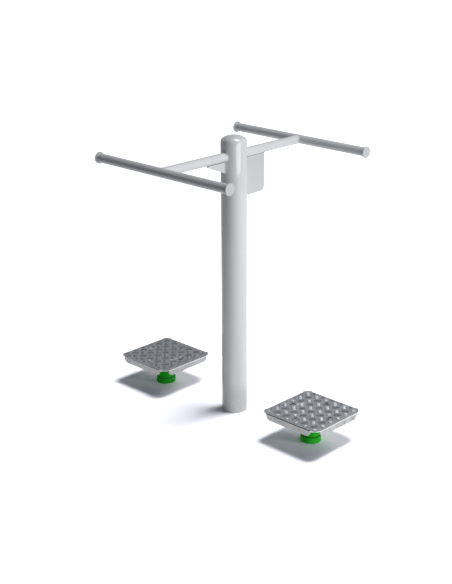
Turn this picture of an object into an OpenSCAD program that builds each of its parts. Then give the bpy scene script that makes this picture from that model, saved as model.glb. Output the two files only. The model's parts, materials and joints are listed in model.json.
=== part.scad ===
// An outdoor waist twister for two users, in millimetres.
// A post carries two arms and two handle bars. On each side of it a square tread
// turns freely on its own swivel hub. The arms run along X and the handle bars
// along Y. The origin is the middle of the post at the ground.

/* [Post] */
// Outside diameter of the post
post_d = 114.3; // [100:0.1:140]
// Wall of the post and of its cap
post_wall = 3.6; // [3:0.1:6]
// Height of the straight tube of the post
post_h = 1258; // [1240:1:1500]
// Height of the domed cap
dome_h = 30; // [26:1:40]
// Radius of the knuckle of the dome
dome_knuckle_r = 22; // [12:1:24]

/* [Arms and handle bars] */
// Outside diameter of the arms and handle bars
tube_d = 40; // [34:0.1:48.3]
// Wall of the arms and handle bars
tube_wall = 2.5; // [2:0.1:4]
// Height of the middle of the arms
arm_z = 1200; // [1000:1:1210]
// Distance from the middle of the post to the middle of a handle bar
bar_x = 426; // [300:1:600]
// Length of the tube of a handle bar
bar_len = 768; // [500:1:900]

/* [End caps] */
// Diameter of the head of an end cap
end_cap_d = 51; // [49:0.5:60]
// Thickness of the head of an end cap
end_cap_t = 5; // [4:0.5:8]
// Rounding of the head's edge
end_cap_round = 1.6; // [0.5:0.1:2]
// Length of the plug that goes into the tube
end_cap_plug = 24; // [15:1:40]
// Wall of the plug
end_cap_wall = 2.4; // [1.5:0.1:4]
// Height of the plug's grip ribs
end_cap_rib = 0.8; // [0.5:0.1:1.2]
// Number of grip ribs
end_cap_ribs = 3; // [2:1:4]

/* [Gusset and sign plate] */
// Reach of the gusset from the wall of the post
gusset_reach = 103; // [60:1:160]
// Drop of the gusset below the arm
gusset_drop = 51; // [30:1:120]
// Height of the gusset's blunt tip
gusset_tip = 9; // [4:1:15]
// Thickness of the gusset
gusset_t = 8; // [4:0.5:12]
// Width of the sign plate from the wall of the post
sign_w = 135; // [80:1:200]
// Height of the sign plate
sign_h = 173; // [100:1:300]
// Corner radius of the sign plate
sign_r = 27; // [5:1:40]
// Thickness of the sign plate
sign_t = 5; // [3:0.5:10]

/* [Treads] */
// Distance from the middle of the post to the middle of a hub
hub_y = 463; // [300:1:700]
// Side of the square tread
tread_w = 312; // [280:1:400]
// Height of the top of the tread above the ground
tread_z = 139; // [125:1:200]
// Thickness of the tread plate
tread_t = 4.5; // [4.2:0.1:6]
// Corner radius of the tread
tread_corner_r = 35; // [20:1:60]
// Depth of the folded edge below the top of the tread
fold_depth = 30; // [25:1:45]
// Inside radius of the fold
fold_r = 2; // [1:0.5:5]
// Gap at each open corner, from the square corner to the end of a folded edge
fold_gap = 32; // [20:1:60]
// Radius of the lower corners of a folded edge
fold_corner_r = 21; // [4:1:22]
// Distance from the side of the tread to a tread screw
screw_inset = 51; // [36:1:60]

/* [Tread lugs] */
// Length of a raised lug
lug_len = 17; // [12:0.5:20]
// Width of a lug
lug_w = 3.8; // [2.5:0.1:5]
// Height of a lug above the plate
lug_rise = 1.2; // [0.5:0.1:2]
// Distance between the lugs of a group
lug_step = 6.2; // [5.5:0.1:7]
// Number of lugs in a group
lug_count = 5; // [3:1:5]
// Distance between groups of lugs that lean the same way
lug_pitch = 52; // [48:0.5:64]
// Place of a group along X from the middle of the tread
lug_shift_x = -14; // [-24:1:24]
// Place of the same group along Y
lug_shift_y = -16; // [-24:1:24]

/* [Tread screws] */
// Thread diameter of a tread screw
screw_d = 8; // [6:1:10]
// Head diameter of a tread screw
screw_head_d = 15.8; // [12:0.1:20]
// Length of a tread screw
screw_len = 16; // [15:1:30]
// Width across the flats of the screw's socket
screw_key = 5; // [3:0.5:6]

/* [Carrier] */
// Thickness of the carrier under the tread
carrier_t = 8; // [6:1:12]
// Diameter of the middle of the carrier
carrier_d = 124; // [110:1:150]
// Width of a carrier arm
carrier_arm_w = 40; // [30:1:50]

/* [Hub] */
// Diameter of the base ring that stands on the ground
base_d = 92; // [90:1:110]
// Height of the base ring
base_h = 25; // [20:1:30]
// Chamfer on the top edge of the base ring
base_chamfer = 2; // [0.5:0.5:3]
// Diameter of the turning collar
collar_d = 82; // [80:1:88]
// Chamfer on the ends of the collar
collar_chamfer = 1.5; // [0.5:0.5:2.5]
// Height of the open groove between base ring and collar
groove_h = 3; // [2:0.5:5]
// Diameter of the spindle's foot
foot_d = 60; // [54:1:64]
// Diameter of the spindle's shoulder under the lower bearing
shoulder_d = 47; // [45:0.5:48]
// Height of the shoulder above the lower end of the collar
shoulder_rise = 8; // [6:0.5:12]
// Depth of the upper bearing below the top of the collar
upper_inset = 12.5; // [12:0.5:20]
// Bore of the collar's land between the bearings
land_d = 60; // [56:0.5:62]
// Radius of the tapped anchor hole in the foot of the spindle
anchor_r = 8.75; // [6:0.05:10]
// Depth of the tapped anchor hole
anchor_depth = 40; // [30:1:60]
// Diameter of the base ring's grub screw
grub_d = 8; // [5:0.5:10]
// Depth of the grub screw's outer end below the side of the base ring
grub_recess = 4; // [1:0.5:6]
// Width across the flats of the grub screw's socket
grub_key = 4; // [2:0.5:5]

/* [Bearings] */
// Bore of a bearing
bearing_bore = 40; // [35:0.5:42]
// Outside diameter of a bearing
bearing_d = 68; // [66:0.5:72]
// Width of a bearing
bearing_w = 15; // [13:0.5:16]
// Diameter of a ball
ball_d = 7.94; // [6.5:0.01:8.5]
// Number of balls in a bearing
ball_count = 12; // [8:1:12]
// Radial thickness of the ball cage
cage_wall = 3.6; // [2.5:0.1:4]
// Width of the ball cage
cage_w = 11; // [10:0.5:12.5]

/* [Locking parts] */
// Diameter of the lock nut
nut_d = 58; // [54:1:58.5]
// Thickness of the lock nut
nut_t = 9; // [7:0.5:10]
// Width of a lock nut's slot
nut_slot_w = 7; // [5:0.5:9]
// Depth of a lock nut's slot
nut_slot_depth = 3; // [2:0.5:4]
// Thickness of the lock washer
washer_t = 1.5; // [1:0.1:1.6]
// Diameter of the carrier's hole over the lock nut
access_d = 64; // [62:1:72]
// Thickness of the retaining ring under the lower bearing
clip_t = 2.5; // [2:0.1:3]
// Radial width of the retaining ring
clip_w = 5.5; // [4:0.5:6]
// Depth of the retaining ring's groove in the collar
clip_depth = 1.5; // [1:0.1:2]
// Outside diameter of the rubber shaft seal
seal_d = 78; // [70:1:79.5]

/* [Clearances] */
// Gap between pieces that turn past each other
turn_gap = 0.3; // [0.2:0.05:0.4]
// Gap round pieces that are fitted or welded together
fit_gap = 0.05; // [0.03:0.01:0.08]
// Gap round a tread screw in the tread
screw_gap = 0.2; // [0.1:0.05:0.4]
// Gap between a ball and the bottom of its groove
race_gap = 0.06; // [0.05:0.01:0.08]
// Gap between a ball and its pocket in the cage
pocket_gap = 0.15; // [0.1:0.01:0.2]

/* [Hidden] */
$fn = 72;
ball_fn = 32;
socket_sides = 6;
// Overrun of a cut past the surface that it goes through
over = 1;
// Bevel on the rims of bearing rings, nuts and sleeves
rim_bevel = 0.8;

post_r = post_d / 2;
tube_r = tube_d / 2;
tube_bore_r = tube_r - tube_wall;
arm_under_z = arm_z - tube_r;

collar_z = base_h + groove_h;
tread_under_z = tread_z - tread_t;
carrier_z = tread_under_z - carrier_t;
shoulder_z = collar_z + shoulder_rise;
lower_mid_z = shoulder_z + bearing_w / 2;
upper_z = carrier_z - upper_inset - bearing_w;
upper_mid_z = upper_z + bearing_w / 2;
washer_z = upper_z + bearing_w;
nut_z = washer_z + washer_t;

ball_r = ball_d / 2;
bearing_bore_r = bearing_bore / 2;
bearing_r = bearing_d / 2;
// The balls run halfway between the bottoms of the two grooves
pitch_r = (bearing_bore_r + bearing_r) / 2;
inner_groove_r = pitch_r - ball_r - race_gap;
outer_groove_r = pitch_r + ball_r + race_gap;
// A groove is a little rounder than its ball
groove_r_share = 1.04;
groove_r = ball_r * groove_r_share;
inner_rim_r = inner_groove_r + ball_r / 3;
outer_rim_r = outer_groove_r - ball_r / 3;

screw_r_pos = tread_w / 2 - screw_inset;
// Outside radius of the fold, and where the folded edge starts and ends along its side
bend_r = fold_r + tread_t;
fold_span = tread_w - 2 * fold_gap;
// Length of sheet that a bend takes up
bend_len = (fold_r + tread_t / 2) * PI / 2;
thread_r = bearing_bore_r - fit_gap;

// Places shared by several pieces

module at_left_hub() translate([0, hub_y, 0]) children();
module at_right_hub() translate([0, -hub_y, 0]) rotate([0, 0, 180]) children();
module at_each_side() for (turn = [0:3]) rotate([0, 0, 90 * turn]) children();
module at_tread_screws() at_each_side() translate([screw_r_pos, 0, 0]) children();

// Tube of radius r and bore b from z = 0 up to h
module tube(r, b, h) {
    difference() {
        cylinder(r = r, h = h);
        translate([0, 0, -over]) cylinder(r = b, h = h + 2 * over);
    }
}

// Rectangle from radius b to r and from z0 to z1, with bevelled corners, to be revolved
module bevelled_section(b, r, z0, z1, bevel) {
    polygon([
        [b + bevel, z0], [r - bevel, z0], [r, z0 + bevel], [r, z1 - bevel],
        [r - bevel, z1], [b + bevel, z1], [b, z1 - bevel], [b, z0 + bevel]
    ]);
}

// Half section of a dished end with a large crown and a small knuckle
module dome_section(a, h, k) {
    crown_r = (pow(a - k, 2) + h * h - k * k) / (2 * (h - k));
    meet_x = (a - k) * crown_r / (crown_r - k);
    intersection() {
        translate([0, h - crown_r]) circle(r = crown_r, $fn = 4 * $fn);
        square([meet_x, h]);
    }
    intersection() {
        translate([a - k, 0]) circle(r = k);
        square([a, h]);
    }
}

// Post

module post() {
    color("gainsboro") tube(post_r, post_r - post_wall, post_h);
}

module post_cap() {
    color("gainsboro") translate([0, 0, post_h]) rotate_extrude() difference() {
        dome_section(post_r, dome_h, dome_knuckle_r);
        dome_section(post_r - post_wall, dome_h - post_wall, dome_knuckle_r - post_wall);
    }
}

// Arms and handle bars

// Solid that an arm is mitred to: the post on one end and a handle bar on the other
module arm_neighbours() {
    cylinder(r = post_r + fit_gap, h = post_h);
    translate([bar_x, 0, arm_z]) rotate([90, 0, 0])
        cylinder(r = tube_r + fit_gap, h = bar_len, center = true);
}

module arm() {
    difference() {
        translate([0, 0, arm_z]) rotate([0, 90, 0]) tube(tube_r, tube_bore_r, bar_x);
        arm_neighbours();
    }
}

module left_arm() color("gainsboro") rotate([0, 0, 180]) arm();
module right_arm() color("gainsboro") arm();

module handle_bar() {
    translate([bar_x, -bar_len / 2, arm_z]) rotate([-90, 0, 0])
        tube(tube_r, tube_bore_r, bar_len);
}

module left_handle_bar() color("gray") rotate([0, 0, 180]) handle_bar();
module right_handle_bar() color("gray") handle_bar();

// Cap with its head's outer face up, and its plug and grip ribs below z = 0
module end_cap() {
    plug_r = tube_bore_r - end_cap_rib - fit_gap;
    rib_step = end_cap_plug / (end_cap_ribs + 1);
    rotate_extrude() {
        polygon([
            [0, 0], [end_cap_d / 2, 0], [end_cap_d / 2, end_cap_t - end_cap_round],
            [end_cap_d / 2 - end_cap_round, end_cap_t - end_cap_round], [0, end_cap_t - end_cap_round]
        ]);
        square([end_cap_d / 2 - end_cap_round, end_cap_t]);
        translate([end_cap_d / 2 - end_cap_round, end_cap_t - end_cap_round])
            circle(r = end_cap_round);
        polygon([
            [plug_r, end_cap_t / 2], [plug_r - end_cap_wall, end_cap_t / 2],
            [plug_r - end_cap_wall, -end_cap_plug], [plug_r, -end_cap_plug],
            for (rib = [end_cap_ribs:-1:1]) each [
                [plug_r, -rib * rib_step - 2 * end_cap_rib],
                [plug_r + end_cap_rib, -rib * rib_step], [plug_r, -rib * rib_step]
            ]
        ]);
    }
}

// End cap on the handle bar at x, on the near side (-1) or the far side (1)
module placed_end_cap(x, side) {
    color("silver") translate([x, side * bar_len / 2, arm_z]) rotate([-90 * side, 0, 0]) end_cap();
}

module left_near_end_cap() placed_end_cap(-bar_x, -1);
module left_far_end_cap() placed_end_cap(-bar_x, 1);
module right_near_end_cap() placed_end_cap(bar_x, -1);
module right_far_end_cap() placed_end_cap(bar_x, 1);

// Gusset and sign plate

// Flat plate in the upright plane of the arms, cut to fit against the post and under the arm
module plate_under_arm(thickness) {
    difference() {
        rotate([90, 0, 0]) linear_extrude(thickness, center = true) children();
        cylinder(r = post_r + fit_gap, h = post_h);
        translate([0, 0, arm_z]) rotate([0, 90, 0]) cylinder(r = tube_r + fit_gap, h = bar_x);
    }
}

module arm_gusset() {
    tip_x = post_r + gusset_reach;
    top_z = arm_z - tube_r / 2;
    color("gainsboro") rotate([0, 0, 180]) plate_under_arm(gusset_t) polygon([
        [0, top_z], [tip_x, top_z], [tip_x, arm_under_z - gusset_tip],
        [post_r, arm_under_z - gusset_drop], [0, arm_under_z - gusset_drop]
    ]);
}

module sign_plate() {
    side_x = post_r + sign_w;
    foot_z = arm_under_z - sign_h;
    top_z = arm_z - tube_r / 2;
    color("silver") plate_under_arm(sign_t) {
        translate([0, foot_z]) square([side_x - sign_r, top_z - foot_z]);
        translate([0, foot_z + sign_r]) square([side_x, top_z - foot_z - sign_r]);
        translate([side_x - sign_r, foot_z + sign_r]) circle(r = sign_r);
    }
}

// Hub pieces that stay still. Each is drawn round the axis of its hub.

module base_ring() {
    difference() {
        rotate_extrude() polygon([
            [foot_d / 2 + fit_gap, 0], [base_d / 2, 0], [base_d / 2, base_h - base_chamfer],
            [base_d / 2 - base_chamfer, base_h], [foot_d / 2 + fit_gap, base_h]
        ]);
        translate([0, 0, base_h / 2]) rotate([90, 0, 0]) cylinder(d = grub_d, h = base_d);
    }
}

module grub_screw() {
    inner_y = foot_d / 2 + fit_gap;
    outer_y = base_d / 2 - grub_recess;
    translate([0, -inner_y, base_h / 2]) rotate([90, 0, 0]) difference() {
        cylinder(r = grub_d / 2 - fit_gap, h = outer_y - inner_y);
        translate([0, 0, outer_y - inner_y - grub_key]) rotate([0, 0, 90])
            cylinder(r = grub_key / 2 / cos(30), h = grub_key + over, $fn = socket_sides);
    }
}

module spindle() {
    difference() {
        rotate_extrude() polygon([
            [0, 0], [foot_d / 2, 0], [foot_d / 2, base_h], [shoulder_d / 2, base_h],
            [shoulder_d / 2, shoulder_z], [thread_r, shoulder_z],
            [thread_r, nut_z + nut_t], [thread_r - washer_t, nut_z + nut_t + washer_t],
            [0, nut_z + nut_t + washer_t]
        ]);
        translate([0, 0, -over]) cylinder(r = anchor_r, h = anchor_depth + over);
    }
}

module shaft_seal() {
    lip = groove_h / 3;
    bore_r = shoulder_d / 2 + fit_gap;
    top_z = collar_z - turn_gap;
    rotate_extrude() polygon([
        [bore_r, base_h], [seal_d / 2, base_h], [seal_d / 2, top_z], [seal_d / 2 - lip, top_z],
        [seal_d / 2 - 2 * lip, top_z - lip], [bore_r + lip, top_z - lip], [bore_r, top_z - 2 * lip]
    ]);
}

module spacer_sleeve() {
    sleeve_z = shoulder_z + bearing_w;
    rotate_extrude()
        bevelled_section(bearing_bore_r, shoulder_d / 2, sleeve_z, upper_z, rim_bevel);
}

// One tab of the washer is bent up into a slot of the nut
module lock_washer() {
    tab_w = nut_slot_w - 4 * fit_gap;
    slot_floor_r = nut_d / 2 - nut_slot_depth;
    tab_x = slot_floor_r + fit_gap;
    translate([0, 0, washer_z]) {
        tube(shoulder_d / 2, bearing_bore_r, washer_t);
        translate([shoulder_d / 2 - washer_t, -tab_w / 2, 0])
            cube([tab_x - shoulder_d / 2 + 2 * washer_t, tab_w, washer_t]);
        translate([tab_x, -tab_w / 2, 0]) cube([washer_t, tab_w, washer_t + nut_t / 2]);
    }
}

module lock_nut() {
    translate([0, 0, nut_z]) difference() {
        rotate_extrude() bevelled_section(bearing_bore_r, nut_d / 2, 0, nut_t, rim_bevel);
        at_each_side() translate([nut_d / 2 - nut_slot_depth, -nut_slot_w / 2, -over])
            cube([nut_slot_depth + over, nut_slot_w, nut_t + 2 * over]);
    }
}

// Bearing pieces, drawn with the middle of the bearing at z = 0

module inner_ring() {
    rotate_extrude() difference() {
        bevelled_section(bearing_bore_r, inner_rim_r, -bearing_w / 2, bearing_w / 2, rim_bevel);
        translate([inner_groove_r + groove_r, 0]) circle(r = groove_r);
    }
}

module outer_ring() {
    rotate_extrude() difference() {
        bevelled_section(outer_rim_r, bearing_r, -bearing_w / 2, bearing_w / 2, rim_bevel);
        translate([outer_groove_r - groove_r, 0]) circle(r = groove_r);
    }
}

module at_balls() {
    for (ball = [0:ball_count - 1]) rotate([0, 0, ball * 360 / ball_count])
        translate([pitch_r, 0, 0]) children();
}

module balls() at_balls() sphere(r = ball_r, $fn = ball_fn);

module cage() {
    difference() {
        translate([0, 0, -cage_w / 2])
            tube(pitch_r + cage_wall / 2, pitch_r - cage_wall / 2, cage_w);
        at_balls() rotate([0, 90, 0])
            cylinder(r = ball_r + pocket_gap, h = 2 * cage_wall, center = true);
    }
}

module at_lower_bearing() translate([0, 0, lower_mid_z]) children();
module at_upper_bearing() translate([0, 0, upper_mid_z]) children();

// Hub pieces that turn

// Bearing housing: a seat at each end, a land between them and a groove for the retaining ring
module collar() {
    seat_r = bearing_r + fit_gap;
    lower_seat_z = shoulder_z + bearing_w;
    rotate_extrude() difference() {
        translate([land_d / 2, 0]) polygon([
            [0, collar_z], [collar_d / 2 - land_d / 2 - collar_chamfer, collar_z],
            [collar_d / 2 - land_d / 2, collar_z + collar_chamfer],
            [collar_d / 2 - land_d / 2, carrier_z - collar_chamfer],
            [collar_d / 2 - land_d / 2 - collar_chamfer, carrier_z], [0, carrier_z]
        ]);
        translate([0, collar_z - over]) square([seat_r, lower_seat_z - collar_z + over]);
        translate([0, upper_z]) square([seat_r, carrier_z - upper_z + over]);
        translate([0, shoulder_z - clip_t - fit_gap])
            square([seat_r + clip_depth, clip_t + fit_gap]);
    }
}

// Open ring that snaps into the collar below the lower bearing
module retaining_ring() {
    clip_r = bearing_r + clip_depth;
    clip_opening = 24;
    translate([0, 0, shoulder_z - clip_t]) rotate([0, 0, clip_opening / 2])
        rotate_extrude(angle = 360 - clip_opening)
            translate([clip_r - clip_w, 0]) square([clip_w, clip_t]);
}

// Spider plate, welded on the collar, with an arm under each tread screw
module carrier() {
    translate([0, 0, carrier_z]) linear_extrude(carrier_t) difference() {
        union() {
            circle(d = carrier_d);
            at_each_side() {
                translate([0, -carrier_arm_w / 2]) square([screw_r_pos, carrier_arm_w]);
                translate([screw_r_pos, 0]) circle(d = carrier_arm_w);
            }
        }
        circle(d = access_d);
        at_tread_screws() circle(d = screw_d + 2 * fit_gap);
    }
}

// Square with round corners, centred
module rounded_square(side, r) {
    square([side, side - 2 * r], center = true);
    square([side - 2 * r, side], center = true);
    for (x = [-1, 1], y = [-1, 1]) translate([x * (side / 2 - r), y * (side / 2 - r)]) circle(r = r);
}

// Section of a folded edge: a quarter bend and a leg, with the tread's side at x = 0
module fold_section() {
    translate([-bend_r, -bend_r]) intersection() {
        difference() {
            circle(r = bend_r);
            circle(r = fold_r);
        }
        square([bend_r, bend_r]);
    }
    translate([-tread_t, -fold_depth]) square([tread_t, fold_depth - bend_r]);
}

// Face of a folded edge, seen from outside, with its lower corners rounded
module fold_face(span) {
    translate([-span / 2, fold_corner_r - fold_depth]) square([span, fold_depth - fold_corner_r]);
    translate([fold_corner_r - span / 2, -fold_depth])
        square([span - 2 * fold_corner_r, fold_depth]);
    for (side = [-1, 1]) translate([side * (span / 2 - fold_corner_r), fold_corner_r - fold_depth])
        circle(r = fold_corner_r);
}

module folded_edge() {
    translate([tread_w / 2, 0, 0]) intersection() {
        rotate([90, 0, 0]) linear_extrude(fold_span, center = true) fold_section();
        rotate([90, 0, 90]) linear_extrude(2 * fold_depth, center = true) fold_face(fold_span);
    }
}

// Raised lug, a lens of two equal arcs, and its places on the sheet before it is folded.
// The lugs of a group lie side by side, and every other group leans the other way.
lug_lean = 45;
lug_reach = ceil(tread_w / lug_pitch / 2) + 1;
lug_places = [
    for (i = [-lug_reach:lug_reach], j = [-lug_reach:lug_reach], half = [0, 1])
        for (k = [0:lug_count - 1])
            let (
                turn = half == 0 ? -lug_lean : lug_lean,
                aside = (k - (lug_count - 1) / 2) * lug_step,
                x = lug_shift_x + (i + half / 2) * lug_pitch - aside * sin(turn),
                y = lug_shift_y + (j + half / 2) * lug_pitch + aside * cos(turn)
            )
            [x, y, turn]
];

module lug() {
    arc_r = (lug_len * lug_len + lug_w * lug_w) / (4 * lug_w);
    intersection() {
        translate([0, arc_r - lug_w / 2]) circle(r = arc_r);
        translate([0, lug_w / 2 - arc_r]) circle(r = arc_r);
    }
}

// Whether the middle of a lug at x, y is in from the edges of the flat and clear of the screws
function lug_fits_flat(x, y) =
    let (
        flat = tread_w / 2 - bend_r - lug_len / 2,
        corner = tread_w / 2 - tread_corner_r,
        corner_x = max(abs(x) - corner, 0),
        corner_y = max(abs(y) - corner, 0),
        screws = [for (a = [0:3]) norm([x - screw_r_pos * cos(90 * a), y - screw_r_pos * sin(90 * a)])]
    )
    max(abs(x), abs(y)) < flat
        && norm([corner_x, corner_y]) < tread_corner_r - lug_len / 2
        && min(screws) > (screw_head_d + lug_len) / 2;

module flat_lugs() {
    for (place = lug_places) if (lug_fits_flat(place.x, place.y))
        translate([place.x, place.y]) rotate(place.z) lug();
}

// Lugs of the sheet that land on the folded edge, turned to the +X side and seen from outside
module fold_lugs(side) {
    room = lug_len / 2 * cos(lug_lean) + lug_w / 2;
    for (place = lug_places) {
        out = place.x * cos(90 * side) + place.y * sin(90 * side);
        along = place.y * cos(90 * side) - place.x * sin(90 * side);
        drop = out - tread_w / 2 + bend_len;
        if (drop > bend_r + room && drop < fold_depth - room && abs(along) < fold_span / 2 - fold_corner_r)
            translate([along, -drop]) rotate(90 + place.z - 90 * side) lug();
    }
}

module tread() {
    translate([0, 0, tread_z]) difference() {
        union() {
            translate([0, 0, -tread_t]) linear_extrude(tread_t) difference() {
                rounded_square(tread_w, tread_corner_r);
                at_each_side() translate([tread_w / 2 - bend_r, -fold_span / 2])
                    square([bend_r + over, fold_span]);
            }
            at_each_side() folded_edge();
            translate([0, 0, -tread_t / 2]) linear_extrude(tread_t / 2 + lug_rise) flat_lugs();
            for (side = [0:3]) rotate([0, 0, 90 * side]) translate([tread_w / 2 - tread_t / 2, 0, 0])
                rotate([90, 0, 90]) linear_extrude(tread_t / 2 + lug_rise) fold_lugs(side);
        }
        at_tread_screws() translate([0, 0, -tread_t - over])
            cylinder(r = screw_d / 2 + screw_gap, h = tread_t + 2 * over);
        at_tread_screws() screw_head(screw_gap);
    }
}

// Countersunk head with its top at z = 0, grown all round by a gap
module screw_head(gap) {
    head_h = (screw_head_d - screw_d) / 2;
    translate([0, 0, -head_h]) cylinder(d1 = screw_d + 2 * gap, d2 = screw_head_d + 2 * gap, h = head_h);
}

module tread_screws() {
    at_tread_screws() translate([0, 0, tread_z]) difference() {
        union() {
            screw_head(0);
            translate([0, 0, -screw_len]) cylinder(d = screw_d, h = screw_len - screw_d / 4);
        }
        translate([0, 0, -screw_key / 2])
            cylinder(r = screw_key / 2 / cos(30), h = screw_key, $fn = socket_sides);
    }
}

// Pieces of the left hub and of the right hub, which is turned half round

module left_base_ring() color("forestgreen") at_left_hub() base_ring();
module left_grub_screw() color("dimgray") at_left_hub() grub_screw();
module left_spindle() color("silver") at_left_hub() spindle();
module left_shaft_seal() color("black") at_left_hub() shaft_seal();
module left_lower_inner_ring() color("lightsteelblue") at_left_hub() at_lower_bearing() inner_ring();
module left_upper_inner_ring() color("lightsteelblue") at_left_hub() at_upper_bearing() inner_ring();
module left_spacer_sleeve() color("slategray") at_left_hub() spacer_sleeve();
module left_lock_washer() color("goldenrod") at_left_hub() lock_washer();
module left_lock_nut() color("darkgray") at_left_hub() lock_nut();
module left_lower_cage() color("peru") at_left_hub() at_lower_bearing() cage();
module left_upper_cage() color("peru") at_left_hub() at_upper_bearing() cage();
module left_lower_balls() color("white") at_left_hub() at_lower_bearing() balls();
module left_upper_balls() color("white") at_left_hub() at_upper_bearing() balls();
module left_collar() color("forestgreen") at_left_hub() collar();
module left_retaining_ring() color("dimgray") at_left_hub() retaining_ring();
module left_lower_outer_ring() color("steelblue") at_left_hub() at_lower_bearing() outer_ring();
module left_upper_outer_ring() color("steelblue") at_left_hub() at_upper_bearing() outer_ring();
module left_carrier() color("darkslategray") at_left_hub() carrier();
module left_tread() color("darkgray") at_left_hub() tread();
module left_tread_screws() color("dimgray") at_left_hub() tread_screws();

module right_base_ring() color("forestgreen") at_right_hub() base_ring();
module right_grub_screw() color("dimgray") at_right_hub() grub_screw();
module right_spindle() color("silver") at_right_hub() spindle();
module right_shaft_seal() color("black") at_right_hub() shaft_seal();
module right_lower_inner_ring() color("lightsteelblue") at_right_hub() at_lower_bearing() inner_ring();
module right_upper_inner_ring() color("lightsteelblue") at_right_hub() at_upper_bearing() inner_ring();
module right_spacer_sleeve() color("slategray") at_right_hub() spacer_sleeve();
module right_lock_washer() color("goldenrod") at_right_hub() lock_washer();
module right_lock_nut() color("darkgray") at_right_hub() lock_nut();
module right_lower_cage() color("peru") at_right_hub() at_lower_bearing() cage();
module right_upper_cage() color("peru") at_right_hub() at_upper_bearing() cage();
module right_lower_balls() color("white") at_right_hub() at_lower_bearing() balls();
module right_upper_balls() color("white") at_right_hub() at_upper_bearing() balls();
module right_collar() color("forestgreen") at_right_hub() collar();
module right_retaining_ring() color("dimgray") at_right_hub() retaining_ring();
module right_lower_outer_ring() color("steelblue") at_right_hub() at_lower_bearing() outer_ring();
module right_upper_outer_ring() color("steelblue") at_right_hub() at_upper_bearing() outer_ring();
module right_carrier() color("darkslategray") at_right_hub() carrier();
module right_tread() color("darkgray") at_right_hub() tread();
module right_tread_screws() color("dimgray") at_right_hub() tread_screws();

post();
post_cap();
left_arm();
right_arm();
left_handle_bar();
right_handle_bar();
left_near_end_cap();
left_far_end_cap();
right_near_end_cap();
right_far_end_cap();
arm_gusset();
sign_plate();
left_base_ring();
left_grub_screw();
left_spindle();
left_shaft_seal();
left_lower_inner_ring();
left_upper_inner_ring();
left_spacer_sleeve();
left_lock_washer();
left_lock_nut();
left_lower_cage();
left_upper_cage();
left_lower_balls();
left_upper_balls();
left_collar();
left_retaining_ring();
left_lower_outer_ring();
left_upper_outer_ring();
left_carrier();
left_tread();
left_tread_screws();
right_base_ring();
right_grub_screw();
right_spindle();
right_shaft_seal();
right_lower_inner_ring();
right_upper_inner_ring();
right_spacer_sleeve();
right_lock_washer();
right_lock_nut();
right_lower_cage();
right_upper_cage();
right_lower_balls();
right_upper_balls();
right_collar();
right_retaining_ring();
right_lower_outer_ring();
right_upper_outer_ring();
right_carrier();
right_tread();
right_tread_screws();
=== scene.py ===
# Looks of the outdoor waist twister: paints, tread plate, welds, studio and camera, in metres.
import json
import math

import bmesh
import bpy
from mathutils import Matrix, Vector


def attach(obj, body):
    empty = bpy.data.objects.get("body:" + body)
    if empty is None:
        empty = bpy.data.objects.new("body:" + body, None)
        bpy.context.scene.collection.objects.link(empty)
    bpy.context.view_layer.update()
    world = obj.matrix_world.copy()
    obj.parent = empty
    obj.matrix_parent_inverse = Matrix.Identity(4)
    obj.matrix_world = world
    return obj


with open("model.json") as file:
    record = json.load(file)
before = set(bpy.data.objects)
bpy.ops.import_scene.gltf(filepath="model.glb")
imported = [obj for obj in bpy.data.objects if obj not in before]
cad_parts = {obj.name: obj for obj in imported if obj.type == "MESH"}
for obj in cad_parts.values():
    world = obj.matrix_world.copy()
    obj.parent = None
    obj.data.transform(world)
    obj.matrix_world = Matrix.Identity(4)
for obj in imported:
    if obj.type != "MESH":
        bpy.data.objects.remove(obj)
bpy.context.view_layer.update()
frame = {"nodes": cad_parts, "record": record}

MM = 0.001

# Sizes repeated from the part's source
POST_R = 57.15 * MM
TUBE_R = 20 * MM
ARM_Z = 1200 * MM
BAR_X = 426 * MM
GUSSET_REACH = 103 * MM
GUSSET_DROP = 51 * MM
GUSSET_T = 8 * MM
SIGN_W = 135 * MM
SIGN_H = 173 * MM
SIGN_T = 5 * MM
HUB_Y = 463 * MM
COLLAR_R = 41 * MM
CARRIER_Z = 126.5 * MM
TREAD_W = 312 * MM
TREAD_Z = 139 * MM
TREAD_T = 4.5 * MM
TREAD_CORNER_R = 35 * MM
FOLD_R = 2 * MM
SCREW_REACH = 105 * MM
SCREW_HEAD_D = 15.8 * MM
LUG_LEN = 17 * MM
LUG_W = 3.8 * MM
LUG_STEP = 6.2 * MM
LUG_COUNT = 5
LUG_PITCH = 52 * MM
LUG_SHIFT_X = -14 * MM
LUG_SHIFT_Y = -16 * MM
LUG_LEAN = math.radians(45)
BEND_R = FOLD_R + TREAD_T
# Section of a lug's flank, as pairs of the width beyond the plain lug and the height
LUG_SECTION = [(0.35 * MM, -0.15 * MM), (0.30 * MM, 0.90 * MM), (0.05 * MM, 1.23 * MM),
               (-1.50 * MM, 2.05 * MM)]
WELD_R = 2.0 * MM
HUB_WELD_R = 1.8 * MM
WELD_RIPPLE_STEP = 4 * MM
POINTS_ROUND_ARM = 120
POINTS_ROUND_HUB = 150
# Arc that shoes have worn in each tread round its hub, on the side of the post
WORN_ARC_R = 83 * MM

# Camera, from a fit of the photo's edges to the part
PICTURE_HEIGHT_PX = 584
FOCAL_LENGTH_PX = 1214.31
SENSOR_MM = 36
CAMERA_PLACE = (-3.6901, -3.5464, 2.4221)
CAMERA_HEADING = 45.724
CAMERA_TILT_DOWN = 19.869
CAMERA_ROLL = -0.327

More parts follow.
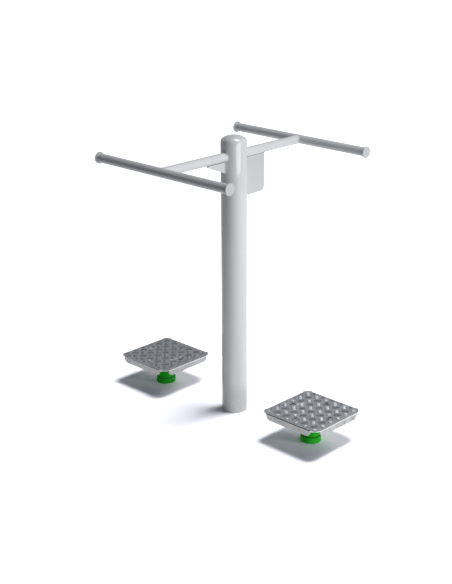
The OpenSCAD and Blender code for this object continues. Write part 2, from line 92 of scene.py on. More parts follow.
# Studio floor, with the shades that the camera, gloss and bounced light see
FLOOR_REACH = 9.0
FLOOR_SHOWN_NEAR = (1.11, 1.10, 1.19, 1)
FLOOR_SHOWN_FAR = (4.2, 4.2, 4.2, 1)
FLOOR_FADE_FROM = 2.0
FLOOR_FADE_TO = 14.0
FLOOR_IN_GLOSS = (0.75, 0.75, 0.76, 1)
FLOOR_BOUNCE_NEAR = (0.54, 0.54, 0.54, 1)
FLOOR_BOUNCE_FAR = (0.2, 0.2, 0.205, 1)
BOUNCE_FADE_FROM = 0.5
BOUNCE_FADE_TO = 2.4

# World: a dim sky that lights, and a background a little over white, so that the picture's rim
# stays white too
SKY_COLOUR = (0.64, 0.82, 1.0, 1)
SKY_STRENGTH = 0.32
BACKGROUND_MARGIN = 0.06

# Key lamp overhead, with its power for each group of things that it lights
KEY_PLACE = (1.7, -1.08, 8.6)
KEY_WIDTH = 2.8
KEY_POWER_UPRIGHT = 320
KEY_POWER_HUBS = 600
KEY_POWER_FLOOR = 780
HIGH_PIECES_FROM = 1.0
LAMP_COLOUR = (1.0, 0.995, 0.99)

# Flat lamps: place, point that they face, size and power
PANEL_PLACE = (0.6, -4.2, 1.8)
PANEL_FACES = (0, 0, 0.7)
PANEL_SIZE = (2.6, 2.6)
PANEL_POWER = 88
STRIP_PLACE = (-0.47, -4.2, 0.4)
STRIP_FACES = (0, 0, 0.8)
STRIP_SIZE = (3.1, 0.7)
STRIP_POWER = 38
SHADOW_FILL_PLACE = (4.0, -1.0, 3.0)
SHADOW_FILL_FACES = (0, 0, 0)
SHADOW_FILL_SIZE = (2.0, 1.6)
SHADOW_FILL_POWER = 90
LOW_FILL_PLACE = (1.5, -3.5, 0.9)
LOW_FILL_FACES = (0, -0.4, 0)
LOW_FILL_SIZE = (1.5, 0.8)
LOW_FILL_POWER = 38

# Boards out of the camera's sight: the ends of their foot, their lower and upper edge, their shade
LEFT_BOARD_FOOT = ((-2.6, -1.4), (-2.6, 4.0))
LEFT_BOARD_EDGES = (0.0, 3.4)
LEFT_BOARD_SHADE = 0.16
BACK_BOARD_FOOT = ((0.0, 4.6), (4.6, 0.0))
BACK_BOARD_EDGES = (0.1, 3.6)
BACK_BOARD_SHADE = 0.6
CEILING_CENTRE = (0.77, -0.5, 3.8)
CEILING_OPENING = 1.5
CEILING_REACH = 6.0
CEILING_SHADE = 0.03


# Helpers for node materials

def new_group(name, inputs, outputs):
    """A shader node group with its sockets made. Returns the group."""
    group = bpy.data.node_groups.new(name, "ShaderNodeTree")
    for label, kind, value in inputs:
        socket = group.interface.new_socket(label, in_out="INPUT", socket_type=kind)
        if value is not None:
            socket.default_value = value
    for label, kind in outputs:
        group.interface.new_socket(label, in_out="OUTPUT", socket_type=kind)
    return group


class Nodes:
    """Adds and joins nodes in one tree."""

    def __init__(self, tree):
        self.tree = tree

    def add(self, kind, values=(), **settings):
        node = self.tree.nodes.new(kind)
        for name, value in settings.items():
            setattr(node, name, value)
        for socket, value in dict(values).items():
            self.feed(node.inputs[socket], value)
        return node

    def feed(self, socket, value):
        if isinstance(value, bpy.types.NodeSocket):
            self.tree.links.new(value, socket)
        else:
            socket.default_value = value

    def maths(self, operation, first, second=0.0, clamp=False):
        node = self.add("ShaderNodeMath", {0: first, 1: second}, operation=operation, use_clamp=clamp)
        return node.outputs[0]

    def mix_colour(self, share, first, second):
        node = self.add("ShaderNodeMix", data_type="RGBA")
        self.feed(node.inputs["Factor"], share)
        self.feed(node.inputs[6], first)
        self.feed(node.inputs[7], second)
        return node.outputs[2]

    def ramp(self, value, low, high, to_low=0.0, to_high=1.0):
        node = self.add("ShaderNodeMapRange", {"Value": value, "From Min": low, "From Max": high,
                                               "To Min": to_low, "To Max": to_high},
                        interpolation_type="SMOOTHSTEP")
        return node.outputs["Result"]

    def noise(self, place, scale, detail=2.0, roughness=0.5):
        node = self.add("ShaderNodeTexNoise", {"Vector": place, "Scale": scale, "Detail": detail,
                                               "Roughness": roughness})
        return node.outputs["Fac"]


def make_powder_group():
    """Powder coat: faint mottling of the colour, fine orange peel and a few dull patches."""
    group = new_group(
        "Powder coat",
        [("Place", "NodeSocketVector", None), ("Colour", "NodeSocketColor", (0.5, 0.5, 0.5, 1)),
         ("Mottle", "NodeSocketFloat", 0.04), ("Peel Scale", "NodeSocketFloat", 260.0),
         ("Roughness", "NodeSocketFloat", 0.35), ("Dullness", "NodeSocketFloat", 0.08)],
        [("Colour", "NodeSocketColor"), ("Roughness", "NodeSocketFloat"), ("Height", "NodeSocketFloat")])
    n = Nodes(group)
    given = n.add("NodeGroupInput").outputs
    result = n.add("NodeGroupOutput")
    patches = n.noise(given["Place"], 7.0, 4.0, 0.6)
    shade = n.maths("MULTIPLY_ADD", n.maths("SUBTRACT", patches, 0.5), given["Mottle"])
    shade.node.inputs[2].default_value = 1.0
    tinted = n.add("ShaderNodeVectorMath", {0: given["Colour"], 1: shade}, operation="MULTIPLY")
    peel = n.noise(given["Place"], given["Peel Scale"], 2.0, 0.45)
    dull = n.maths("MULTIPLY", n.ramp(n.noise(given["Place"], 16.0, 3.0, 0.55), 0.45, 0.75),
                   given["Dullness"])
    n.feed(result.inputs["Colour"], tinted.outputs[0])
    n.feed(result.inputs["Roughness"], n.maths("ADD", given["Roughness"], dull, clamp=True))
    n.feed(result.inputs["Height"], peel)
    return group


def make_dust_group():
    """Dust and splashed grit that settle near the ground, thinning out upwards."""
    group = new_group(
        "Ground dust",
        [("Place", "NodeSocketVector", None), ("Colour", "NodeSocketColor", (0.5, 0.5, 0.5, 1)),
         ("Dust Colour", "NodeSocketColor", (0.33, 0.30, 0.26, 1)),
         ("Reach", "NodeSocketFloat", 0.12), ("Amount", "NodeSocketFloat", 0.4)],
        [("Colour", "NodeSocketColor"), ("Mask", "NodeSocketFloat")])
    n = Nodes(group)
    given = n.add("NodeGroupInput").outputs
    result = n.add("NodeGroupOutput")
    height = n.add("ShaderNodeSeparateXYZ", {0: given["Place"]}).outputs["Z"]
    low = n.maths("SUBTRACT", 1.0, n.maths("DIVIDE", height, given["Reach"]), clamp=True)
    specks = n.ramp(n.noise(given["Place"], 90.0, 5.0, 0.7), 0.35, 0.8)
    mask = n.maths("MULTIPLY", n.maths("MULTIPLY", low, specks), given["Amount"], clamp=True)
    n.feed(result.inputs["Colour"], n.mix_colour(mask, given["Colour"], given["Dust Colour"]))
    n.feed(result.inputs["Mask"], mask)
    return group


def make_brushed_group():
    """Fine lines left by turning or brushing, long along one axis, with a few smudges."""
    group = new_group(
        "Brushed lines",
        [("Place", "NodeSocketVector", None), ("Stretch", "NodeSocketVector", (1.0, 1.0, 1.0)),
         ("Colour", "NodeSocketColor", (0.5, 0.5, 0.5, 1)), ("Contrast", "NodeSocketFloat", 0.1),
         ("Roughness", "NodeSocketFloat", 0.3)],
        [("Colour", "NodeSocketColor"), ("Roughness", "NodeSocketFloat"), ("Height", "NodeSocketFloat")])
    n = Nodes(group)
    given = n.add("NodeGroupInput").outputs
    result = n.add("NodeGroupOutput")
    stretched = n.add("ShaderNodeVectorMath", {0: given["Place"], 1: given["Stretch"]},
                      operation="MULTIPLY").outputs[0]
    lines = n.noise(stretched, 900.0, 3.0, 0.6)
    smudges = n.noise(given["Place"], 30.0, 3.0, 0.5)
    spread = n.maths("SUBTRACT", n.maths("ADD", lines, n.maths("MULTIPLY", smudges, 0.6)), 0.8)
    shade = n.maths("MULTIPLY_ADD", spread, given["Contrast"])
    shade.node.inputs[2].default_value = 1.0
    tinted = n.add("ShaderNodeVectorMath", {0: given["Colour"], 1: shade}, operation="MULTIPLY")
    n.feed(result.inputs["Colour"], tinted.outputs[0])
    n.feed(result.inputs["Roughness"], n.maths("MULTIPLY", given["Roughness"], shade, clamp=True))
    n.feed(result.inputs["Height"], lines)
    return group


POWDER = make_powder_group()
DUST = make_dust_group()
BRUSHED = make_brushed_group()


def new_material(name, metallic=0.0, coat=0.0, coat_roughness=0.1, specular=0.5):
    """A material with its surface shader and the object's own coordinates."""
    material = bpy.data.materials.new(name)
    material.use_nodes = True
    material.node_tree.nodes.clear()
    n = Nodes(material.node_tree)
    shader = n.add("ShaderNodeBsdfPrincipled")
    shader.inputs["Metallic"].default_value = metallic
    shader.inputs["Coat Weight"].default_value = coat
    shader.inputs["Coat Roughness"].default_value = coat_roughness
    shader.inputs["Specular IOR Level"].default_value = specular
    out = n.add("ShaderNodeOutputMaterial")
    n.feed(out.inputs["Surface"], shader.outputs[0])
    place = n.add("ShaderNodeTexCoord").outputs["Object"]
    return material, n, shader, place


def add_bump(n, shader, height, distance, strength=1.0):
    bump = n.add("ShaderNodeBump", {"Height": height})
    bump.inputs["Distance"].default_value = distance
    bump.inputs["Strength"].default_value = strength
    n.feed(shader.inputs["Normal"], bump.outputs[0])


def use_group(n, group, values):
    node = n.add("ShaderNodeGroup", node_tree=group)
    for label, value in values.items():
        n.feed(node.inputs[label], value)
    return node.outputs


def make_paint(name, colour, roughness, metallic=0.0, coat=0.3, coat_roughness=0.1, specular=0.5,
               mottle=0.05, peel=260.0, peel_depth=0.00004, dust_reach=0.1, dust=0.35):
    """Powder coat on metal, with dust near the ground."""
    material, n, shader, place = new_material(name, metallic, coat, coat_roughness, specular)
    coat_look = use_group(n, POWDER, {"Place": place, "Colour": (*colour, 1), "Mottle": mottle,
                                      "Peel Scale": peel, "Roughness": roughness})
    dusty = use_group(n, DUST, {"Place": place, "Colour": coat_look["Colour"],
                                "Reach": dust_reach, "Amount": dust})
    n.feed(shader.inputs["Base Color"], dusty["Colour"])
    n.feed(shader.inputs["Roughness"], n.maths("ADD", coat_look["Roughness"],
                                               n.maths("MULTIPLY", dusty["Mask"], 0.4), clamp=True))
    add_bump(n, shader, coat_look["Height"], peel_depth)
    return material


def make_turned_metal(name, colour, roughness, stretch, contrast=0.15):
    """Bare metal with fine lines."""
    material, n, shader, place = new_material(name, 1.0)
    lines = use_group(n, BRUSHED, {"Place": place, "Colour": (*colour, 1), "Stretch": stretch,
                                   "Roughness": roughness, "Contrast": contrast})
    n.feed(shader.inputs["Base Color"], lines["Colour"])
    n.feed(shader.inputs["Roughness"], lines["Roughness"])
    add_bump(n, shader, lines["Height"], 0.00001)
    return material


def make_tread_metal():
    """Chequer plate of one metal: the top painted a darker grey as painted shade, the folded edges painted
    a brighter metal as painted light.
    """
    material, n, shader, place = new_material("Tread metal", 0.85)
    parts = n.add("ShaderNodeSeparateXYZ", {0: place}).outputs
    across_y = n.maths("SUBTRACT", n.maths("ABSOLUTE", parts["Y"]), HUB_Y)
    from_hub = n.maths("SQRT", n.maths("ADD", n.maths("MULTIPLY", parts["X"], parts["X"]),
                                       n.maths("MULTIPLY", across_y, across_y)))
    on_top = n.ramp(parts["Z"], TREAD_Z - 2.5 * MM, TREAD_Z - 0.5 * MM)
    grime_and_shade = n.noise(place, 24.0, 5.0, 0.65)
    # Painted shade on the top and painted light on the folded edges and underside: lit and shaded copies
    # of one metal
    shaded_top_colour = n.mix_colour(n.ramp(grime_and_shade, 0.3, 0.7), (0.24, 0.255, 0.285, 1), (0.30, 0.315, 0.345, 1))
    lit_side_colour = n.mix_colour(n.ramp(grime_and_shade, 0.35, 0.7), (0.46, 0.46, 0.475, 1), (0.58, 0.58, 0.595, 1))
    colour = n.mix_colour(on_top, lit_side_colour, shaded_top_colour)
    off_arc = n.maths("ABSOLUTE", n.maths("SUBTRACT", from_hub, WORN_ARC_R))
    line = n.maths("SUBTRACT", 1.0, n.ramp(off_arc, 1.6 * MM, 2.8 * MM))
    facing = n.maths("DIVIDE", n.maths("MULTIPLY", across_y, -1.0), n.maths("MAXIMUM", from_hub, 1 * MM))
    arc = n.maths("MULTIPLY", line, n.ramp(facing, 0.86, 0.90))
    arc = n.maths("MULTIPLY", arc, on_top)
    colour = n.mix_colour(arc, colour, (0.92, 0.92, 0.93, 1))
    # The bends are rubbed smooth and bright
    bend = n.maths("MULTIPLY", n.ramp(parts["Z"], TREAD_Z - BEND_R, TREAD_Z - 0.7 * BEND_R),
                   n.maths("SUBTRACT", 1.0, n.ramp(parts["Z"], TREAD_Z - 1.2 * MM, TREAD_Z - 0.2 * MM)))
    out = n.maths("MAXIMUM", n.maths("ABSOLUTE", parts["X"]), n.maths("ABSOLUTE", across_y))
    bend = n.maths("MULTIPLY", bend, n.ramp(out, TREAD_W / 2 - BEND_R, TREAD_W / 2 - 0.7 * BEND_R))
    n.feed(shader.inputs["Base Color"], n.mix_colour(bend, colour, (0.85, 0.85, 0.86, 1)))
    metallic = n.maths("SUBTRACT", 0.9, n.maths("MULTIPLY", on_top, 0.5))
    n.feed(shader.inputs["Metallic"], n.maths("MAXIMUM", metallic, bend))
    rough = n.maths("ADD", 0.40, n.maths("MULTIPLY", n.noise(place, 45.0, 4.0, 0.6), 0.18))
    n.feed(shader.inputs["Roughness"], n.maths("SUBTRACT", rough, n.maths("MULTIPLY", bend, 0.33)))
    add_bump(n, shader, n.noise(place, 420.0, 3.0, 0.6), 0.00006)
    return material


def make_lug_metal():
    """Lugs: dark, rubbed ridges."""
    material, n, shader, place = new_material("Lug metal", 0.9)
    wear = n.ramp(n.noise(place, 60.0, 4.0, 0.6), 0.35, 0.65)
    n.feed(shader.inputs["Base Color"],
           n.mix_colour(wear, (0.13, 0.14, 0.15, 1), (0.17, 0.18, 0.19, 1)))
    n.feed(shader.inputs["Roughness"], n.maths("ADD", 0.37, n.maths("MULTIPLY", wear, 0.06)))
    add_bump(n, shader, n.noise(place, 500.0, 3.0, 0.6), 0.00003)
    return material


def make_screw_steel():
    """Dark oxide steel; the two screws of the left tread that are furthest from the right tread are bright
    steel.
    """
    material, n, shader, place = new_material("Screw steel", 1.0)
    parts = n.add("ShaderNodeSeparateXYZ", {0: place}).outputs
    bright_pair = n.ramp(n.maths("SUBTRACT", parts["Y"], parts["X"]), HUB_Y - 5 * MM, HUB_Y + 5 * MM)
    colour = n.mix_colour(bright_pair, (0.12, 0.12, 0.13, 1), (0.85, 0.85, 0.87, 1))
    lines = use_group(n, BRUSHED, {"Place": place, "Colour": colour, "Contrast": 0.15,
                                   "Roughness": 0.4})
    n.feed(shader.inputs["Base Color"], lines["Colour"])
    n.feed(shader.inputs["Roughness"], lines["Roughness"])
    add_bump(n, shader, lines["Height"], 0.00001)
    return material


def make_shaded_seam_paint():
    """Painted weld, with painted shade darkening the seam under the arms."""
    material, n, shader, place = new_material("Seam paint with painted shade", 0.0, 0.2)
    height = n.add("ShaderNodeSeparateXYZ", {0: place}).outputs["Z"]
    under_arm = ARM_Z - TUBE_R
    # Painted shade: the bead turns dark just under the arm, where the arm shades it
    grime_and_shade = n.ramp(height, under_arm - 4 * MM, under_arm - 2.5 * MM)
    colour = n.mix_colour(grime_and_shade, (0.62, 0.62, 0.635, 1), (0.10, 0.10, 0.105, 1))
    look = use_group(n, POWDER, {"Place": place, "Colour": colour, "Mottle": 0.12,
                                 "Peel Scale": 500.0, "Roughness": 0.5})
    n.feed(shader.inputs["Base Color"], look["Colour"])
    n.feed(shader.inputs["Roughness"], look["Roughness"])
    add_bump(n, shader, look["Height"], 0.00012)
    return material


def make_plastic(name, colour, roughness, grain=700.0, depth=0.00003):
    material, n, shader, place = new_material(name)
    look = use_group(n, POWDER, {"Place": place, "Colour": (*colour, 1), "Mottle": 0.06,
                                 "Peel Scale": grain, "Roughness": roughness, "Dullness": 0.12})
    n.feed(shader.inputs["Base Color"], look["Colour"])
    n.feed(shader.inputs["Roughness"], look["Roughness"])
    add_bump(n, shader, look["Height"], depth)
    return material


GREY_PAINT = make_paint("Grey powder coat", (0.68, 0.68, 0.695), 0.45, coat=0.8,
                        coat_roughness=0.04, dust_reach=0.16, dust=0.35)
SIGN_PAINT = make_paint("Sign powder coat", (0.62, 0.62, 0.63), 0.45, coat=0.2,
                        coat_roughness=0.2)
GREEN_PAINT = make_paint("Green powder coat", (0.008, 0.56, 0.008), 0.5, coat=0.0, specular=0.2,
                         mottle=0.12, dust_reach=0.05, dust=0.3)
CARRIER_PAINT = make_paint("Carrier primer", (0.10, 0.10, 0.11), 0.55, coat=0.0, mottle=0.15)
TREAD_METAL = make_tread_metal()
LUG_METAL = make_lug_metal()
CAP_PLASTIC = make_plastic("Cap plastic", (0.56, 0.56, 0.575), 0.45)
CAGE_PLASTIC = make_plastic("Cage plastic", (0.55, 0.40, 0.18), 0.5)
SEAL_RUBBER = make_plastic("Seal rubber", (0.02, 0.02, 0.02), 0.65)
SCREW_STEEL = make_screw_steel()
TURNED_STEEL = make_turned_metal("Turned steel", (0.55, 0.55, 0.56), 0.3, (0.05, 0.05, 1.0))
BEARING_STEEL = make_turned_metal("Bearing steel", (0.72, 0.72, 0.74), 0.14, (0.05, 0.05, 1.0), 0.06)
WELD_PAINT = make_paint("Painted weld", (0.62, 0.62, 0.635), 0.4, metallic=0.2, coat=0.4, mottle=0.12,
                        peel=500.0, peel_depth=0.00012)
SHADED_SEAM_PAINT = make_shaded_seam_paint()

SLOT_MATERIALS = {
    "grey_paint": GREY_PAINT, "sign_paint": SIGN_PAINT,
    "green_paint": GREEN_PAINT, "tread_metal": TREAD_METAL, "carrier_paint": CARRIER_PAINT,
    "cap_plastic": CAP_PLASTIC, "screw_steel": SCREW_STEEL, "turned_steel": TURNED_STEEL,
    "bearing_steel": BEARING_STEEL, "cage_plastic": CAGE_PLASTIC, "seal_rubber": SEAL_RUBBER,
}


def dress_cad_nodes():
    """Gives every CAD node the finish of its slot."""
    for part in frame["record"]["subparts"]:
        node = frame["nodes"][part["node"]]
        node.data.materials.clear()
        node.data.materials.append(SLOT_MATERIALS[part["material_slot"]])


# Weld beads

def add_piece(name, mesh, material, body):
    piece = bpy.data.objects.new(name, mesh)
    bpy.context.scene.collection.objects.link(piece)
    mesh.materials.append(material)
    for face in mesh.polygons:
        face.use_smooth = True
    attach(piece, body)
    return piece


def bead_mesh(name, path, radius, closed, ripple=0.12):
    """A weld bead: a round rod along a path, with the ripples of the weld pool."""
    around = 8
    mesh = bmesh.new()
    rings = []
    run = 0.0
    last = len(path) - 1
    for i, point in enumerate(path):
        before = path[i - 1] if (closed or i > 0) else point
        after = path[(i + 1) % len(path)] if (closed or i < last) else point
        along = (after - before).normalized()
        side = along.cross(Vector((0, 0, 1)))
        if side.length < 0.2:
            side = along.cross(Vector((0, 1, 0)))
        side.normalize()
        up = side.cross(along)
        wave = 1 + ripple * math.sin(2 * math.pi * run / WELD_RIPPLE_STEP)
        ring = []
        for k in range(around):
            turn = 2 * math.pi * k / around
            offset = side * math.cos(turn) + up * math.sin(turn)
            ring.append(mesh.verts.new(point + offset * radius * wave))
        rings.append(ring)
        run += (after - point).length
    count = len(rings)
    for i in range(count if closed else count - 1):
        one, two = rings[i], rings[(i + 1) % count]
        for k in range(around):
            mesh.faces.new((one[k], one[(k + 1) % around], two[(k + 1) % around], two[k]))
    if not closed:
        mesh.faces.new(list(reversed(rings[0])))
        mesh.faces.new(rings[-1])
    bmesh.ops.recalc_face_normals(mesh, faces=mesh.faces)
    data = bpy.data.meshes.new(name)
    mesh.to_mesh(data)
    mesh.free()
    return data


def straight_path(start, end, step=1 * MM):
    start, end = Vector(start), Vector(end)
    count = max(2, int((end - start).length / step))
    return [start.lerp(end, i / count) for i in range(count + 1)]


def arm_post_path(side):
    """Where an arm meets the round post."""
    points = []
    for i in range(POINTS_ROUND_ARM):
        turn = 2 * math.pi * i / POINTS_ROUND_ARM
        y, z = TUBE_R * math.cos(turn), TUBE_R * math.sin(turn)
        points.append(Vector((side * math.sqrt(POST_R ** 2 - y * y), y, ARM_Z + z)))
    return points


def arm_bar_path(side):
    """Where an arm meets its handle bar."""
    points = []
    for i in range(POINTS_ROUND_ARM):
        turn = 2 * math.pi * i / POINTS_ROUND_ARM
        y, z = TUBE_R * math.cos(turn), TUBE_R * math.sin(turn)
        points.append(Vector((side * (BAR_X - abs(y)), y, ARM_Z + z)))
    return points


def add_frame_welds():
    """Beads where the arms, the gusset and the sign plate meet what carries them."""
    for side, name in ((-1, "left"), (1, "right")):
        add_piece(name + "_arm_post_weld", bead_mesh("arm_post_weld", arm_post_path(side), WELD_R, True),
                  WELD_PAINT, "frame")
        add_piece(name + "_arm_bar_weld", bead_mesh("arm_bar_weld", arm_bar_path(side), WELD_R, True),
                  WELD_PAINT, "frame")
    under = ARM_Z - TUBE_R
    # The gusset's and sign's beads take the seam paint, with painted shade where they run under the arm
    for face in (-1, 1):
        edge = "near" if face < 0 else "far"
        y = face * GUSSET_T / 2
        wall = math.sqrt(POST_R ** 2 - y * y)
        path = straight_path((-wall, y, under - GUSSET_DROP), (-wall, y, under))
        path += straight_path((-wall, y, under), (-POST_R - GUSSET_REACH, y, under))
        add_piece("gusset_weld_" + edge, bead_mesh("gusset_weld", path, WELD_R, False),
                  SHADED_SEAM_PAINT, "frame")
        y = face * SIGN_T / 2
        wall = math.sqrt(POST_R ** 2 - y * y)
        path = straight_path((wall, y, under - SIGN_H), (wall, y, under))
        path += straight_path((wall, y, under), (POST_R + SIGN_W, y, under))
        add_piece("sign_weld_" + edge, bead_mesh("sign_weld", path, WELD_R, False),
                  SHADED_SEAM_PAINT, "frame")


def add_hub_welds():
    """The bead that joins each collar to the plate that carries the tread."""
    for side, y in (("left", HUB_Y), ("right", -HUB_Y)):
        path = []
        for i in range(POINTS_ROUND_HUB):
            turn = 2 * math.pi * i / POINTS_ROUND_HUB
            path.append(Vector((COLLAR_R * math.cos(turn), y + COLLAR_R * math.sin(turn), CARRIER_Z)))
        add_piece(side + "_hub_weld", bead_mesh("hub_weld", path, HUB_WELD_R, True),
                  GREEN_PAINT, side + "_platform")


# Lugs of the chequer plate

def lug_places():
    """Places and turns of the lugs on the sheet of the left tread."""
    reach = math.ceil(TREAD_W / LUG_PITCH / 2) + 1
    for i in range(-reach, reach + 1):
        for j in range(-reach, reach + 1):
            for half, turn in ((0.0, -LUG_LEAN), (0.5, LUG_LEAN)):
                for k in range(LUG_COUNT):
                    aside = (k - (LUG_COUNT - 1) / 2) * LUG_STEP
                    yield (LUG_SHIFT_X + (i + half) * LUG_PITCH - aside * math.sin(turn),
                           LUG_SHIFT_Y + (j + half) * LUG_PITCH + aside * math.cos(turn), turn)


def fits_flat(x, y):
    """Whether a lug lies on the flat top, in from its bends and corners and clear of the screws."""
    flat = TREAD_W / 2 - BEND_R - LUG_LEN / 2
    corner = TREAD_W / 2 - TREAD_CORNER_R
    corner_gap = math.hypot(max(abs(x) - corner, 0), max(abs(y) - corner, 0))
    screws = [math.hypot(x - SCREW_REACH * a, y - SCREW_REACH * b) for a, b in
              ((1, 0), (0, 1), (-1, 0), (0, -1))]
    return (max(abs(x), abs(y)) < flat and corner_gap < TREAD_CORNER_R - LUG_LEN / 2
            and min(screws) > (SCREW_HEAD_D + LUG_LEN) / 2)


def bar_ring(mesh, place, half_length, half_width, height):
    """Corners of a bar's outline with round ends, at one height."""
    steps = 6
    ring = []
    for way in (1, -1):
        for k in range(steps + 1):
            turn = math.pi * (k / steps - 0.5)
            along = way * (half_length - half_width + half_width * math.cos(turn))
            ring.append(mesh.verts.new(place @ Vector((along, way * half_width * math.sin(turn), height))))
    return ring


def lug_mesh(turn):
    """Lugs of a tread's top, each a low roof with round ends. The right tread is the left one turned."""
    mesh = bmesh.new()
    tread = Matrix.Rotation(turn, 4, "Z") @ Matrix.Translation((0, HUB_Y, 0))
    for x, y, lean in lug_places():
        if not fits_flat(x, y):
            continue
        place = tread @ Matrix.Translation((x, y, TREAD_Z)) @ Matrix.Rotation(lean, 4, "Z")
        rings = [bar_ring(mesh, place, LUG_LEN / 2 + grow, LUG_W / 2 + grow, height)
                 for grow, height in LUG_SECTION]
        for outer, inner in zip(rings, rings[1:]):
            count = len(outer)
            for k in range(count):
                after = (k + 1) % count
                mesh.faces.new((outer[k], outer[after], inner[after], inner[k]))
        mesh.faces.new(rings[-1])
    bmesh.ops.recalc_face_normals(mesh, faces=mesh.faces)
    data = bpy.data.meshes.new("lugs")
    mesh.to_mesh(data)
    mesh.free()
    data.set_sharp_from_angle(angle=math.radians(22))
    return data


def add_lugs():
    for side, turn in (("left", 0.0), ("right", math.pi)):
        add_piece(side + "_tread_lugs", lug_mesh(turn), LUG_METAL, side + "_platform")


# Studio

def seen_ray(n):
    """1 for rays that show the background: from the camera, off gloss and through glass."""
    light = n.add("ShaderNodeLightPath").outputs
    bent = n.maths("MAXIMUM", light["Is Glossy Ray"], light["Is Transmission Ray"])
    return n.maths("MAXIMUM", light["Is Camera Ray"], bent)


def add_floor():
    """Pale floor, white where it is lit, with the object's shadow. It bounces less light further out."""
    mesh = bmesh.new()
    bmesh.ops.create_grid(mesh, x_segments=4, y_segments=4, size=FLOOR_REACH)
    data = bpy.data.meshes.new("Studio floor")
    mesh.to_mesh(data)
    mesh.free()
    floor = bpy.data.objects.new("Studio floor", data)
    bpy.context.scene.collection.objects.link(floor)
    material = bpy.data.materials.new("Studio floor")
    material.use_nodes = True
    material.node_tree.nodes.clear()
    n = Nodes(material.node_tree)
    place = n.add("ShaderNodeTexCoord").outputs["Object"]
    away = n.add("ShaderNodeVectorMath", {0: place}, operation="LENGTH").outputs["Value"]
    # The floor that the camera sees gets paler further out, where the lamps light it less
    faded = n.ramp(away, FLOOR_FADE_FROM, FLOOR_FADE_TO)
    seen_colour = n.mix_colour(faded, FLOOR_SHOWN_NEAR, FLOOR_SHOWN_FAR)
    to_camera = n.add("ShaderNodeLightPath").outputs["Is Camera Ray"]
    shown_colour = n.mix_colour(to_camera, FLOOR_IN_GLOSS, seen_colour)
    shown = n.add("ShaderNodeBsdfDiffuse", {"Color": shown_colour})
    bounce_fade = n.ramp(away, BOUNCE_FADE_FROM, BOUNCE_FADE_TO)
    bounce_colour = n.mix_colour(bounce_fade, FLOOR_BOUNCE_NEAR, FLOOR_BOUNCE_FAR)
    bounce = n.add("ShaderNodeBsdfDiffuse", {"Color": bounce_colour})
    mixed = n.add("ShaderNodeMixShader", {0: seen_ray(n), 1: bounce.outputs[0], 2: shown.outputs[0]})
    out = n.add("ShaderNodeOutputMaterial")
    n.feed(out.inputs["Surface"], mixed.outputs[0])
    data.materials.append(material)
    return floor


def add_board(name, mesh, shade):
    """A matt board that the camera doesn't see and that casts no shadow of the lamps."""
    data = bpy.data.meshes.new(name)
    mesh.to_mesh(data)
    mesh.free()
    card = bpy.data.objects.new(name, data)
    bpy.context.scene.collection.objects.link(card)
    card.visible_camera = False
    card.visible_shadow = False
    material = bpy.data.materials.new(name)
    material.use_nodes = True
    material.node_tree.nodes.clear()
    n = Nodes(material.node_tree)
    board = n.add("ShaderNodeBsdfDiffuse", {"Color": (shade, shade, shade, 1)})
    out = n.add("ShaderNodeOutputMaterial")
    n.feed(out.inputs["Surface"], board.outputs[0])
    data.materials.append(material)


def add_standing_board(name, foot, edges, shade):
    """A board beside the object that darkens what faces it."""
    mesh = bmesh.new()
    start, end = foot
    low, high = edges
    corners = [(*start, low), (*end, low), (*end, high), (*start, high)]
    mesh.faces.new([mesh.verts.new(corner) for corner in corners])
    add_board(name, mesh, shade)


def add_ceiling():
    """Dark ceiling with a round opening for the key lamp."""
    mesh = bmesh.new()
    sides = 32
    across, along, height = CEILING_CENTRE
    rings = []
    for radius in (CEILING_OPENING, CEILING_REACH):
        ring = []
        for k in range(sides):
            turn = 2 * math.pi * k / sides
            ring.append(mesh.verts.new((across + radius * math.cos(turn),
                                        along + radius * math.sin(turn), height)))
        rings.append(ring)
    for k in range(sides):
        after = (k + 1) % sides
        mesh.faces.new((rings[0][k], rings[0][after], rings[1][after], rings[1][k]))
    add_board("Ceiling", mesh, CEILING_SHADE)


def add_flat_lamp(name, place, faces, size, power, shape="RECTANGLE"):
    """Soft flat lamp that the camera doesn't see."""
    lamp = bpy.data.lights.new(name, "AREA")
    lamp.energy = power
    lamp.color = LAMP_COLOUR
    lamp.shape = shape
    lamp.size, lamp.size_y = size
    holder = bpy.data.objects.new(name, lamp)
    bpy.context.scene.collection.objects.link(holder)
    holder.location = place
    holder.rotation_mode = "QUATERNION"
    holder.rotation_quaternion = (Vector(faces) - Vector(place)).to_track_quat("-Z", "Y")
    holder.visible_camera = False
    return holder


def stands_high(thing):
    """Whether a piece belongs to the post and what it carries, and not to the hubs."""
    return max((thing.matrix_world @ Vector(corner)).z for corner in thing.bound_box) > HIGH_PIECES_FROM


def choose_lit(holder, things, state):
    """The lamp lights only these things (INCLUDE) or everything but these (EXCLUDE)."""
    chosen = bpy.data.collections.new(holder.name + " choice")
    for thing in things:
        chosen.objects.link(thing)
    for member in chosen.collection_objects:
        member.light_linking.link_state = state
    holder.light_linking.receiver_collection = chosen


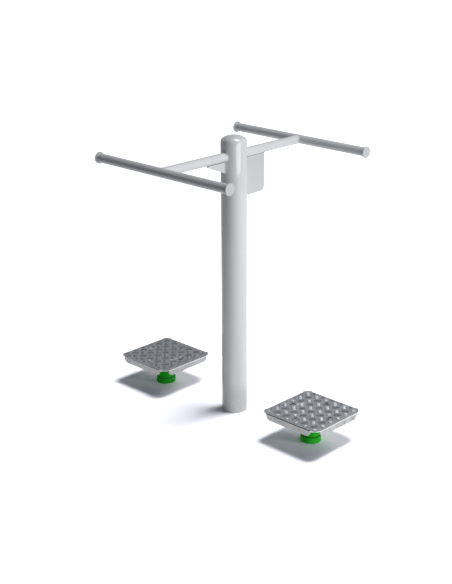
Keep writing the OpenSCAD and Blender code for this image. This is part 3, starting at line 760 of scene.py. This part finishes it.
def add_lights(floor):
    """Lamps whose light is shared out, so that floor, upright and hubs each get their own level."""
    upright = [thing for thing in bpy.context.scene.objects
               if thing.type == "MESH" and stands_high(thing)]
    for name, power, things, state in (
            ("Upright key lamp", KEY_POWER_UPRIGHT, upright, "INCLUDE"),
            ("Hub key lamp", KEY_POWER_HUBS, upright + [floor], "EXCLUDE"),
            ("Floor key lamp", KEY_POWER_FLOOR, [floor], "INCLUDE")):
        key = add_flat_lamp(name, KEY_PLACE, (0, 0, 0), (KEY_WIDTH, KEY_WIDTH), power, "DISK")
        choose_lit(key, things, state)
    panel = add_flat_lamp("Right panel", PANEL_PLACE, PANEL_FACES, PANEL_SIZE, PANEL_POWER)
    choose_lit(panel, [floor], "EXCLUDE")
    strip = add_flat_lamp("Low strip", STRIP_PLACE, STRIP_FACES, STRIP_SIZE, STRIP_POWER)
    choose_lit(strip, upright, "INCLUDE")
    shadow_fill = add_flat_lamp("Shadow fill", SHADOW_FILL_PLACE, SHADOW_FILL_FACES,
                                SHADOW_FILL_SIZE, SHADOW_FILL_POWER)
    choose_lit(shadow_fill, [floor], "INCLUDE")
    low_fill = add_flat_lamp("Low fill", LOW_FILL_PLACE, LOW_FILL_FACES, LOW_FILL_SIZE,
                             LOW_FILL_POWER)
    choose_lit(low_fill, [floor], "INCLUDE")


def add_boards():
    add_standing_board("Left board", LEFT_BOARD_FOOT, LEFT_BOARD_EDGES, LEFT_BOARD_SHADE)
    add_standing_board("Back board", BACK_BOARD_FOOT, BACK_BOARD_EDGES, BACK_BOARD_SHADE)
    add_ceiling()


def set_world():
    """White background for what is seen, a dim cool sky for everything else."""
    world = bpy.data.worlds.new("Studio")
    bpy.context.scene.world = world
    world.use_nodes = True
    world.node_tree.nodes.clear()
    n = Nodes(world.node_tree)
    to_camera = n.add("ShaderNodeLightPath").outputs["Is Camera Ray"]
    white_level = n.maths("ADD", 1.0, n.maths("MULTIPLY", to_camera, BACKGROUND_MARGIN))
    white = n.add("ShaderNodeBackground", {"Color": (1, 1, 1, 1), "Strength": white_level})
    dim = n.add("ShaderNodeBackground", {"Color": SKY_COLOUR, "Strength": SKY_STRENGTH})
    mixed = n.add("ShaderNodeMixShader", {0: seen_ray(n), 1: dim.outputs[0], 2: white.outputs[0]})
    out = n.add("ShaderNodeOutputWorld")
    n.feed(out.inputs["Surface"], mixed.outputs[0])


def place_camera():
    data = bpy.data.cameras.new("Camera")
    camera = bpy.data.objects.new("Camera", data)
    bpy.context.scene.collection.objects.link(camera)
    data.sensor_width = SENSOR_MM
    data.lens = FOCAL_LENGTH_PX * SENSOR_MM / PICTURE_HEIGHT_PX
    camera.matrix_world = (
        Matrix.Translation(CAMERA_PLACE)
        @ Matrix.Rotation(math.radians(-CAMERA_HEADING), 4, "Z")
        @ Matrix.Rotation(math.radians(90 - CAMERA_TILT_DOWN), 4, "X")
        @ Matrix.Rotation(math.radians(CAMERA_ROLL), 4, "Z"))
    bpy.context.scene.camera = camera


dress_cad_nodes()
add_frame_welds()
add_hub_welds()
add_lugs()
add_lights(add_floor())
add_boards()
set_world()
place_camera()
bpy.context.scene.view_settings.view_transform = "Standard"
